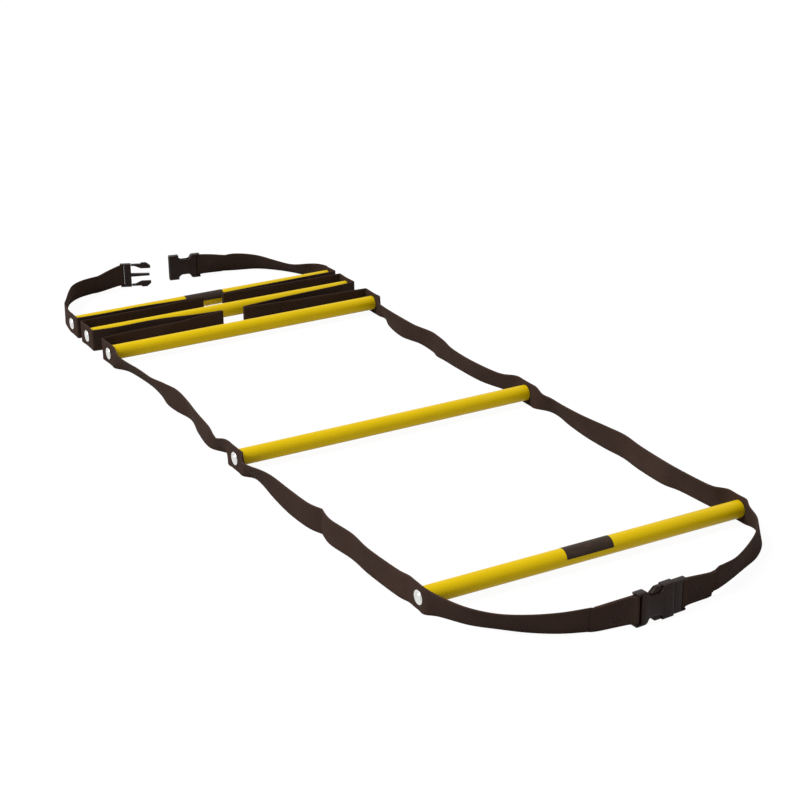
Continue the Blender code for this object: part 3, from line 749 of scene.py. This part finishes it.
def end_controls(end, side):
    """Rows from the first fold, past the rivet, round a buckle's bar and back over themselves."""
    tab = tab_controls(END_RUNGS[end], side)
    rows = (tab if end == "far" else tab[::-1])[:-1]
    route = ROUTE_SHARES[end, side]
    lifts = ROUTE_LIFTS.get((end, side), (0,) * len(route))
    places = route_places(end, side)
    bar = bar_place(end, side)
    chain = [flat(rows[-1]), *places, bar]
    for number, (_, _, degrees) in enumerate(route):
        heading = (chain[number + 2] - chain[number]).normalized()
        outward = left_of(heading) * -SIDES[side] * END_OUT[end]
        lean = outward * math.sin(math.radians(degrees))
        rows.append(control(places[number], lean, lifts[number]))
    run = (bar - places[-1]).normalized()
    beside = left_of(run)
    tilt = Vector((*rows[-1][3:], 0))
    raised = BUCKLE_HEIGHT - STRAP_WIDTH / 2
    doubling = bar - run * DOUBLED_LENGTH
    neck = bar - run * 2 * EYE_OUTSIDE
    layer = beside * (STRAP_THICKNESS / 2 + LAYER_GAP)
    ramp = run * DOUBLING_RAMP
    rows.append(control(doubling - ramp, tilt, lifts[-1]))
    rows.append(control(doubling + ramp - layer, tilt * DOUBLED_LEAN_SHARE))
    rows.append(control(neck - layer, UPRIGHT, raised))
    for degrees in EYE_ANGLES:
        angle = math.radians(degrees)
        around = run * math.cos(angle) + beside * math.sin(angle)
        rows.append(control(bar + around * EYE_MIDDLE, UPRIGHT, raised))
    rows.append(control(neck + layer, UPRIGHT, raised))
    rows.append(control(doubling + ramp + layer, tilt * DOUBLED_LEAN_SHARE))
    rows.append(control(doubling + layer, tilt))
    return rows


def fold_rows(before, after, pivot, sizes):
    """Rows round a fold between two segments, which are cleared beside it."""
    arriving = (flat(before[-1]) - flat(before[-2])).normalized()
    leaving = (flat(after[1]) - flat(after[0])).normalized()
    turn = arriving.angle(leaving)
    if turn < SLIGHT_FOLD:
        return before[:-1], [], after
    reach = sizes.fold_clearing
    before = [row for row in before if (flat(row) - pivot).length > reach] or before[:1]
    after = [row for row in after if (flat(row) - pivot).length > reach] or after[-1:]
    start = left_of(arriving)
    if start.dot(leaving) > 0:
        start = -start
    steps = 8 if turn > TIGHT_FOLD else 4
    swing = math.copysign(turn, arriving.cross(leaving).z)
    rows = []
    for step in range(steps + 1):
        around = Matrix.Rotation(swing * step / steps, 3, "Z") @ start
        rows.append(control(pivot + around * sizes.fold_radius, UPRIGHT))
    return before, rows, after


def smooth_rows(rows, spacing):
    """Rows on a smooth curve through the given ones, and where each given one ended up."""
    ends = [rows[0], *rows, rows[-1]]
    curve = [rows[0]]
    places = [0]
    for before, start, end, after in zip(ends, ends[1:], ends[2:], ends[3:]):
        steps = max(1, round(math.dist(start[:2], end[:2]) / spacing))
        for step in range(1, steps + 1):
            t = step / steps
            row = [
                b + ((c - a) * t + (2 * a - 5 * b + 4 * c - d) * t ** 2
                     + (3 * b - a - 3 * c + d) * t ** 3) / 2
                for a, b, c, d in zip(before, start, end, after)
            ]
            curve.append(tuple(row))
        places.append(len(curve) - 1)
    return curve, places


def framed(curve):
    """Each row's middle, direction across the webbing's width, and direction through it."""
    frames = []
    for index, (x, y, lift, lean_x, lean_y) in enumerate(curve):
        upward = math.sqrt(max(0.0, 1 - lean_x ** 2 - lean_y ** 2))
        rise = Vector((lean_x, lean_y, upward)).normalized()
        sideways = math.hypot(lean_x, lean_y)
        height = STRAP_WIDTH / 2 * upward + STRAP_THICKNESS / 2 * sideways + lift
        ahead = curve[min(index + 1, len(curve) - 1)]
        behind = curve[max(index - 1, 0)]
        heading = (flat(ahead) - flat(behind)).normalized()
        frames.append((Vector((x, y, height)), rise, heading.cross(rise).normalized()))
    return frames


def side_segments(side):
    """The webbing's segments down one side from near to far: its nodes, body and rows."""
    near = end_controls("near", side)[::-1]
    segments = [([f"near_{side}_strap"], "rung_1_ends", near)]
    for bay in range(1, BAYS + 1):
        for half in ("near", "far"):
            name = f"bay_{bay}_{side}_{half}"
            segments.append(([f"{name}_strap"], name, half_controls(bay, side, half)))
        if bay < BAYS:
            rung = bay + 1
            body = f"rung_{rung}_ends"
            segments.append(([f"rung_{rung}_{side}_tab"], body, tab_controls(rung, side)))
    far = end_controls("far", side)
    segments.append(([f"far_{side}_strap"], f"rung_{RUNGS}_ends", far))
    return segments


def side_pivots(side):
    pivots = []
    for bay in range(1, BAYS + 1):
        pivots += [Vector((place.x, place.y, 0)) for place in fold_axes(bay, side)]
    return pivots


def webbing_profile(sizes):
    """Closed section of the webbing as (across, through) points, its long edges rounded."""
    half = STRAP_WIDTH / 2
    deep = STRAP_THICKNESS / 2
    inset = sizes.selvedge
    face = [
        (-half + inset + (STRAP_WIDTH - 2 * inset) * step / SECTION_STEPS, deep)
        for step in range(SECTION_STEPS + 1)
    ]
    across, through = half - inset * SELVEDGE_SHARE, deep * SELVEDGE_DEPTH_SHARE
    edge = [(across, through), (half, 0), (across, -through)]
    return [*face, *edge, *((-a, -d) for a, d in face), *((-a, -d) for a, d in edge)]


def webbing_strip(frames, distances, sizes):
    """A closed strip of webbing through the given rows, with its UV map in metres."""
    profile = webbing_profile(sizes)
    count = len(profile)
    rows = len(frames)
    shape = bmesh.new()
    bmesh.ops.create_grid(shape, x_segments=rows - 1, y_segments=count, size=1, calc_uvs=True)
    strip = shape.loops.layers.uv.new("strip")
    where = {}
    for vert in shape.verts:
        row = round((vert.co.x + 1) / 2 * (rows - 1))
        point = round((vert.co.y + 1) / 2 * count)
        where[vert] = (row, point)
    for face in shape.faces:
        for loop in face.loops:
            row, point = where[loop.vert]
            loop[strip].uv = (distances[row], profile[point % count][0])
    for vert, (row, point) in where.items():
        middle, rise, through = frames[row]
        across, deep = profile[point % count]
        vert.co = middle + rise * across + through * deep
    bmesh.ops.remove_doubles(shape, verts=shape.verts, dist=MERGE_DISTANCE)
    bmesh.ops.holes_fill(shape, edges=[e for e in shape.edges if e.is_boundary], sides=count)
    bmesh.ops.recalc_face_normals(shape, faces=shape.faces)
    for face in shape.faces:
        face.smooth = len(face.verts) == 4
    for edge in shape.edges:
        edge.smooth = all(len(face.verts) == 4 for face in edge.link_faces)
    return shape


def side_webbing(side, sizes, material):
    """All the webbing down one side, cut only at folds where no joint joins the two bodies."""
    segments = side_segments(side)
    pivots = side_pivots(side)
    controls = [rows for _, _, rows in segments]
    folds = []
    for number, pivot in enumerate(pivots):
        pair = controls[number:number + 2]
        controls[number], between, controls[number + 1] = fold_rows(*pair, pivot, sizes)
        folds.append(between)
    chain = []
    ends = []
    fold_places = []
    for rows, fold in zip(controls, [*folds, []]):
        ends.append((len(chain), len(chain) + len(rows) - 1))
        chain += rows
        fold_places.append(len(chain) + len(fold) // 2)
        chain += fold
    curve, places = smooth_rows(chain, sizes.row_spacing)
    frames = framed(curve)
    distances = [0.0]
    for old, new in zip(curve, curve[1:]):
        distances.append(distances[-1] + math.dist(old[:2], new[:2]))
    middles = [(places[first] + places[last]) // 2 for first, last in ends]
    middles[0] = 0
    middles[-1] = len(curve) - 1
    for number, pivot in enumerate(pivots):
        nodes, body, _ = segments[number]
        next_nodes, next_body, _ = segments[number + 1]
        name = f"webbing_{side}_{number + 1}"
        first, last = middles[number:number + 2]
        cut = places[fold_places[number]]
        joined = frozenset((body, next_body)) in PIVOTS
        spans = [(name, first, last, None, nodes + next_nodes)]
        if not joined:
            spans = [
                (f"{name}a", first, cut, body, nodes),
                (f"{name}b", cut, last, next_body, next_nodes),
            ]
        for span_name, low, high, rides, replaced in spans:
            shape = webbing_strip(frames[low:high + 1], distances[low:high + 1], sizes)
            piece = new_piece(span_name, shape, material, rides, replaced)
            if joined:
                start, end = bend_range(curve, cut, pivot, folds[number], sizes)
                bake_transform(piece)


def bend_range(curve, cut, pivot, fold, sizes):
    """Where a strip starts and ends to turn about its fold."""
    if fold:
        across = (flat(fold[-1]) - flat(fold[0])).normalized()
        reach = sizes.fold_radius * FOLD_BEND_SHARE
    else:
        ahead = flat(curve[min(cut + 1, len(curve) - 1)])
        behind = flat(curve[max(cut - 1, 0)])
        across = (ahead - behind).normalized()
        reach = sizes.row_spacing * ROW_BEND_SHARE
    return pivot - across * reach, pivot + across * reach


def plate(outline, half_depth, corner, steps=4):
    """A plate from an outline of (along, across, rounded)."""
    shape = bmesh.new()
    corners = [shape.verts.new((along, -half_depth, across)) for along, across, _ in outline]
    shape.faces.new(corners)
    rounded = [vert for vert, entry in zip(corners, outline) if entry[2]]
    if rounded:
        bmesh.ops.bevel(
            shape, geom=rounded, offset=corner, segments=steps, profile=0.5,
            affect="VERTICES", material=-1, clamp_overlap=False,
        )
    grown = bmesh.ops.extrude_face_region(shape, geom=shape.faces[:], use_keep_orig=True)
    moved = [item for item in grown["geom"] if isinstance(item, bmesh.types.BMVert)]
    bmesh.ops.translate(shape, vec=(0, 2 * half_depth, 0), verts=moved)
    bmesh.ops.recalc_face_normals(shape, faces=shape.faces)
    return shape


def round_rims(shape, size, steps=3):
    """Round the edges where a plate's faces meet its rim."""
    rims = [
        edge for edge in shape.edges
        if len(edge.link_faces) == 2
        and any(abs(face.normal.y) > 0.9 for face in edge.link_faces)
        and any(abs(face.normal.y) < 0.1 for face in edge.link_faces)
    ]
    bmesh.ops.bevel(
        shape, geom=rims, offset=size, segments=steps, profile=0.5,
        affect="EDGES", material=-1, clamp_overlap=True,
    )


def both_sides(half_outline):
    return (*half_outline, *((x, -z, rounded) for x, z, rounded in reversed(half_outline)))


def block(low, high):
    shape = bmesh.new()
    bmesh.ops.create_cube(shape, size=1)
    size = [b - a for a, b in zip(low, high)]
    middle = [(a + b) / 2 for a, b in zip(low, high)]
    matrix = Matrix.Translation(middle) @ Matrix.Diagonal((*size, 1))
    bmesh.ops.transform(shape, matrix=matrix, verts=shape.verts)
    return shape


def rod(radius, length, steps=24):
    """A bar along Z."""
    shape = bmesh.new()
    bmesh.ops.create_cone(
        shape, cap_ends=True, segments=steps, radius1=radius, radius2=radius, depth=length
    )
    return shape


def combined(shape, tools):
    """The bmesh after its cuts and joins, each (shape, operation)."""
    base = plain_object("working", shape)
    helpers = []
    for number, (tool, operation) in enumerate(tools):
        helper = plain_object(f"working_tool_{number}", tool)
        helpers.append(helper)
        modifier = base.modifiers.new(f"step_{number}", "BOOLEAN")
        modifier.operation = operation
        modifier.object = helper
        modifier.solver = "EXACT"
    bpy.context.view_layer.update()
    solid = base.evaluated_get(bpy.context.evaluated_depsgraph_get())
    result = bmesh.new()
    result.from_mesh(solid.to_mesh())
    solid.to_mesh_clear()
    for made in (base, *helpers):
        bpy.data.objects.remove(made)
    bmesh.ops.remove_doubles(result, verts=result.verts, dist=MERGE_DISTANCE)
    bmesh.ops.recalc_face_normals(result, faces=result.faces)
    return result


def grip_ribs(places, half_across, depth, sizes):
    """Rounded ribs across both faces of a buckle half, at places along it."""
    ribs = []
    for along in places:
        for face in (-1, 1):
            rib = rod(sizes.rib_height * RIB_RADIUS_SHARE, 2 * half_across, steps=12)
            bmesh.ops.translate(rib, vec=(along, face * depth, 0), verts=rib.verts)
            ribs.append((rib, "UNION"))
    return ribs


def strap_bar(along):
    """The bar that the webbing goes round, let into both cheeks of its notch."""
    bar = rod(BAR_RADIUS, 2 * NOTCH_HALF + BAR_IN_CHEEKS)
    bmesh.ops.translate(bar, vec=(along, 0, 0), verts=bar.verts)
    return bar


def socket_shape(sizes):
    """The socket, hollow from its mouth, with its bar and grip ribs."""
    bar_end = -SOCKET_LENGTH
    flange = bar_end + BAR_END_LENGTH
    waist = -MOUTH_LENGTH - flange
    waist_start, waist_end = (flange + share * waist for share in WAIST_SHARES)
    outline = both_sides(
        (
            (bar_end + NOTCH_DEPTH, NOTCH_HALF, False),
            (bar_end, NOTCH_HALF, False),
            (bar_end, BAR_END_WIDTH / 2, False),
            (flange, BAR_END_WIDTH / 2, True),
            (waist_start, WAIST_WIDTH / 2, True),
            (waist_end, WAIST_WIDTH / 2, True),
            (-MOUTH_LENGTH, CAVITY_HALF - SOCKET_SIDE_WALL, False),
            (-MOUTH_LENGTH, MOUTH_WIDTH / 2, False),
            (0, MOUTH_WIDTH / 2, False),
        )
    )
    shape = plate(outline, SOCKET_THICKNESS / 2, BUCKLE_CORNER)
    round_rims(shape, sizes.buckle_round)
    cavity = block(
        (bar_end + SOCKET_FLOOR, -CAVITY_DEPTH / 2, -CAVITY_HALF),
        (CUT_BEYOND, CAVITY_DEPTH / 2, CAVITY_HALF),
    )
    depth = SOCKET_THICKNESS / 2 - sizes.rib_height
    ribs = grip_ribs(SOCKET_RIBS, SOCKET_RIB_HALF, depth, sizes)
    bar = strap_bar(SOCKET_BAR_PLACE)
    return combined(shape, [(bar, "UNION"), *ribs, (cavity, "DIFFERENCE")])


def base_shape(sizes):
    """The prongs' base, with its bar, middle guide and grip ribs."""
    end = PARTING + BASE_LENGTH
    notch = end - NOTCH_DEPTH
    outline = both_sides(
        (
            (PARTING, BASE_WIDTH / 2, False),
            (end, BASE_WIDTH / 2, False),
            (end, NOTCH_HALF, False),
            (notch, NOTCH_HALF, False),
        )
    )
    shape = plate(outline, BASE_THICKNESS / 2, BUCKLE_CORNER)
    round_rims(shape, sizes.buckle_round)
    root, tip = (notch / 2, GUIDE_WIDTH / 2, False), (-GUIDE_LENGTH, GUIDE_TIP_HALF, True)
    guide = plate(both_sides((root, tip)), PRONG_THICKNESS / 2, GUIDE_CORNER)
    depth = BASE_THICKNESS / 2 - sizes.rib_height
    ribs = grip_ribs(BASE_RIBS, BASE_RIB_HALF, depth, sizes)
    bar = strap_bar(BASE_BAR_PLACE)
    return combined(shape, [(bar, "UNION"), *ribs, (guide, "UNION")])


def arm_shape(side):
    """An arm with its shoulder and pad, on the upper side (1) or the lower one (-1)."""
    half = ARM_BLADE / 2
    shoulder = -MOUTH_LENGTH - PARTING
    tip = -ARM_LENGTH
    inner = half - ARM_PAD_DEPTH
    caught = half + ARM_SHOULDER
    turns = [math.pi * step / ARM_OUTLINE_STEPS for step in range(ARM_OUTLINE_STEPS + 1)]
    root = [(math.sin(a) * half - half, math.cos(a) * half, False) for a in turns]
    outline = (
        *root, (shoulder * ARM_NECK_SHARE, -half, False), (shoulder, inner, True),
        (tip, inner, True), (tip, inner * ARM_TIP_SHARE, True),
        (shoulder * ARM_CATCH_SHARE, caught, True), (shoulder, caught, False),
        (shoulder, half, False),
    )
    outline = [(x, side * (z + ARM_ACROSS), rounded) for x, z, rounded in outline]
    shape = plate(outline, PRONG_THICKNESS / 2, ARM_CORNER)
    round_rims(shape, ARM_RIM, steps=2)
    return shape


def finish_buckle(name, shape, place, material, body, node):
    """A buckle's piece in its place, instead of a node."""
    bmesh.ops.transform(shape, matrix=place, verts=shape.verts)
    smooth_all(shape, degrees=32)
    new_piece(name, shape, material, body, (node,))


def stitch_row(shape, start, end, out, sizes):
    """Stitches from start to end, standing a little proud of the webbing."""
    length = (end - start).length
    count = max(1, round(length / (sizes.stitch_length * STITCH_SPACING_SHARE)))
    run = (end - start).normalized()
    turn = Vector((0, 0, 1)).rotation_difference(run).to_matrix().to_4x4()
    for number in range(count):
        middle = start + (end - start) * ((number + 0.5) / count) + out
        stretch = Matrix.Diagonal((1, 1, sizes.stitch_length / 2 / sizes.thread_radius, 1))
        matrix = Matrix.Translation(middle) @ turn @ stretch
        bmesh.ops.create_icosphere(
            shape, subdivisions=1, radius=sizes.thread_radius, matrix=matrix
        )


def end_stitching(end, side, sizes, material):
    """A sewn box with a cross on both faces of a doubled end."""
    bar = bar_place(end, side)
    run = (bar - route_places(end, side)[-1]).normalized()
    low, high = (bar - run * distance for distance in SEWN_FROM_BAR)
    height = Vector((0, 0, BUCKLE_HEIGHT - SEWN_DROP))
    across = Vector((0, 0, STRAP_WIDTH / 2 - SEWN_INSET))
    corners = [
        low + height - across, high + height - across,
        high + height + across, low + height + across,
    ]
    shape = bmesh.new()
    for face in (-1, 1):
        proud = left_of(run) * face * (STRAP_THICKNESS + STITCH_PROUD)
        for first, last in SEWN_LINES:
            stitch_row(shape, corners[first], corners[last], proud, sizes)
    smooth_all(shape, degrees=180)
    body = f"rung_{END_RUNGS[end]}_ends"
    new_piece(f"{end}_{side}_stitching", shape, material, body)


class LADDER_OT_rungs(bpy.types.Operator):
    """Tubes of the five rungs, with rounded cut ends"""

    bl_idname = "ladder.rungs"
    bl_label = "Rungs"

    def execute(self, context):
        scene = context.scene
        material = tube_look(scene.ladder_colours)
        for rung in range(1, RUNGS + 1):
            rung_tube(rung, scene.ladder_sizes, material)
        return {"FINISHED"}


class LADDER_OT_labels(bpy.types.Operator):
    """Bare film labels on the first and the last rung"""

    bl_idname = "ladder.labels"
    bl_label = "Labels"

    def execute(self, context):
        scene = context.scene
        material = label_look(scene.ladder_colours)
        for rung in END_RUNGS.values():
            label_patch(rung, scene.ladder_sizes, material)
        return {"FINISHED"}


class LADDER_OT_rivets(bpy.types.Operator):
    """Flanged and domed rivets at both ends of each rung"""

    bl_idname = "ladder.rivets"
    bl_label = "Rivets"

    def execute(self, context):
        material = rivet_look(context.scene.ladder_colours)
        for rung in range(1, RUNGS + 1):
            for side in SIDES:
                rivet_head(rung, side, material)
        return {"FINISHED"}


class LADDER_OT_plugs(bpy.types.Operator):
    """Finish of the plugs inside the tubes' ends"""

    bl_idname = "ladder.plugs"
    bl_label = "End plugs"

    def execute(self, context):
        material = plug_look(context.scene.ladder_colours)
        for name, node in frame["nodes"].items():
            if name.endswith("end_plug"):
                dress(node.data, material)
        return {"FINISHED"}


class LADDER_OT_webbing(bpy.types.Operator):
    """Woven webbing down both sides, with its folds and doubled ends"""

    bl_idname = "ladder.webbing"
    bl_label = "Webbing"

    def execute(self, context):
        scene = context.scene
        material = webbing_look(scene.ladder_sizes, scene.ladder_colours)
        for side in SIDES:
            side_webbing(side, scene.ladder_sizes, material)
        return {"FINISHED"}


class LADDER_OT_stitching(bpy.types.Operator):
    """Sewn boxes on the four doubled ends"""

    bl_idname = "ladder.stitching"
    bl_label = "Stitching"

    def execute(self, context):
        scene = context.scene
        material = thread_look(scene.ladder_colours)
        for end in END_RUNGS:
            for side in SIDES:
                end_stitching(end, side, scene.ladder_sizes, material)
        return {"FINISHED"}


class LADDER_OT_buckles(bpy.types.Operator):
    """Both side-release buckles, the near one closed and the far one open"""

    bl_idname = "ladder.buckles"
    bl_label = "Buckles"

    def execute(self, context):
        scene = context.scene
        sizes = scene.ladder_sizes
        material = buckle_look(scene.ladder_colours)
        for end, rung in END_RUNGS.items():
            body = f"rung_{rung}_ends"
            place = buckle_frame(end, "socket")
            shell = socket_shape(sizes)
            finish_buckle(f"{end}_socket_shell", shell, place, material, body, f"{end}_socket")
            place = buckle_frame(end, "prongs")
            base = base_shape(sizes)
            finish_buckle(f"{end}_base_body", base, place, material, body, f"{end}_prong_base")
            for level, side in (("upper", 1), ("lower", -1)):
                node = f"{end}_{level}_arm"
                finish_buckle(f"{node}_blade", arm_shape(side), place, material, node, node)
        return {"FINISHED"}


class LADDER_OT_stage(bpy.types.Operator):
    """White floor, soft studio light and the photograph's camera"""

    bl_idname = "ladder.stage"
    bl_label = "Stage"

    def execute(self, context):
        stage_floor()
        studio_light()
        photo_camera()
        context.scene.view_settings.view_transform = "Standard"
        return {"FINISHED"}


def stage_floor():
    """A white floor that keeps part of the shadow and reads as white to the camera."""
    shape = bmesh.new()
    bmesh.ops.create_grid(shape, x_segments=1, y_segments=1, size=FLOOR_REACH)
    floor = plain_object("floor", shape)
    material = bpy.data.materials.new("white_floor")
    material.use_nodes = True
    tree = material.node_tree
    tree.nodes.remove(tree.nodes["Principled BSDF"])
    nodes = Nodes(tree)
    diffuse = nodes.add("ShaderNodeBsdfDiffuse", None, {"Color": opaque(FLOOR_GREY)})
    glow = nodes.add("ShaderNodeEmission", None, {"Color": WHITE, "Strength": FLOOR_GLOW})
    share = nodes.seen_directly() * FLOOR_GLOW_SHARE
    mixed = nodes.add("ShaderNodeMixShader", None, {0: share, 1: diffuse, 2: glow})
    nodes.feed(tree.nodes["Material Output"].inputs["Surface"], mixed)
    dress(floor.data, material)


def studio_light():
    """An even white room and one broad lamp above the left side, a little to the far end."""
    world = bpy.data.worlds.new("white_room")
    bpy.context.scene.world = world
    world.use_nodes = True
    nodes = Nodes(world.node_tree)
    inputs = {"Value": nodes.seen_directly(), "To Min": ROOM_FILL, "To Max": 1.0}
    strength = nodes.add("ShaderNodeMapRange", None, inputs)
    background = world.node_tree.nodes["Background"]
    nodes.feed(background.inputs["Color"], WHITE)
    nodes.feed(background.inputs["Strength"], strength)
    lamp = bpy.data.lights.new("broad_lamp", "SUN")
    lamp.energy = LAMP_STRENGTH
    lamp.angle = math.radians(LAMP_SPREAD)
    holder = bpy.data.objects.new("broad_lamp", lamp)
    holder.rotation_euler = (*(math.radians(degrees) for degrees in LAMP_TURN), 0)
    bpy.context.scene.collection.objects.link(holder)


def photo_camera():
    """The photograph's viewpoint, set from the middle of the first rung."""
    camera = bpy.data.cameras.new("photo_camera")
    camera.sensor_width = CAMERA_SENSOR
    camera.sensor_fit = "HORIZONTAL"
    camera.lens = CAMERA_LENS
    camera.clip_start, camera.clip_end = CAMERA_CLIP
    holder = bpy.data.objects.new("photo_camera", camera)
    bpy.context.scene.collection.objects.link(holder)
    turn = (
        Matrix.Rotation(math.radians(-CAMERA_YAW), 4, "Z")
        @ Matrix.Rotation(math.radians(90 - CAMERA_PITCH), 4, "X")
        @ Matrix.Rotation(math.radians(CAMERA_ROLL), 4, "Z")
    )
    place = box_middle("rung_1_tube") + CAMERA_FROM_RUNG
    holder.matrix_world = Matrix.Translation(place) @ turn
    bpy.context.scene.camera = holder


class LADDER_PT_pieces(bpy.types.Panel):
    """The ladder's pieces, sizes and colours"""

    bl_idname = "LADDER_PT_pieces"
    bl_label = "Agility ladder"
    bl_space_type = "VIEW_3D"
    bl_region_type = "UI"
    bl_category = "Ladder"

    def draw(self, context):
        for operator in OPERATORS:
            self.layout.operator(operator.bl_idname)
        for group in (context.scene.ladder_sizes, context.scene.ladder_colours):
            box = self.layout.box()
            for name in group.__annotations__:
                box.prop(group, name)


OPERATORS = (
    LADDER_OT_stage, LADDER_OT_rungs, LADDER_OT_labels, LADDER_OT_rivets, LADDER_OT_plugs,
    LADDER_OT_webbing, LADDER_OT_stitching, LADDER_OT_buckles,
)
CLASSES = (LadderSizes, LadderColours, *OPERATORS, LADDER_PT_pieces)


def register():
    for each in CLASSES:
        bpy.utils.register_class(each)
    bpy.types.Scene.ladder_sizes = bpy.props.PointerProperty(type=LadderSizes)
    bpy.types.Scene.ladder_colours = bpy.props.PointerProperty(type=LadderColours)


def unregister():
    del bpy.types.Scene.ladder_colours
    del bpy.types.Scene.ladder_sizes
    for each in reversed(CLASSES):
        bpy.utils.unregister_class(each)


def main():
    for default in ("Cube", "Light", "Camera"):
        if default in bpy.data.objects:
            bpy.data.objects.remove(bpy.data.objects[default])
    register()
    bpy.ops.ladder.stage()
    bpy.ops.ladder.rungs()
    bpy.ops.ladder.labels()
    bpy.ops.ladder.rivets()
    bpy.ops.ladder.plugs()
    bpy.ops.ladder.webbing()
    bpy.ops.ladder.stitching()
    bpy.ops.ladder.buckles()
    bpy.context.view_layer.update()


if __name__ == "__main__":
    main()
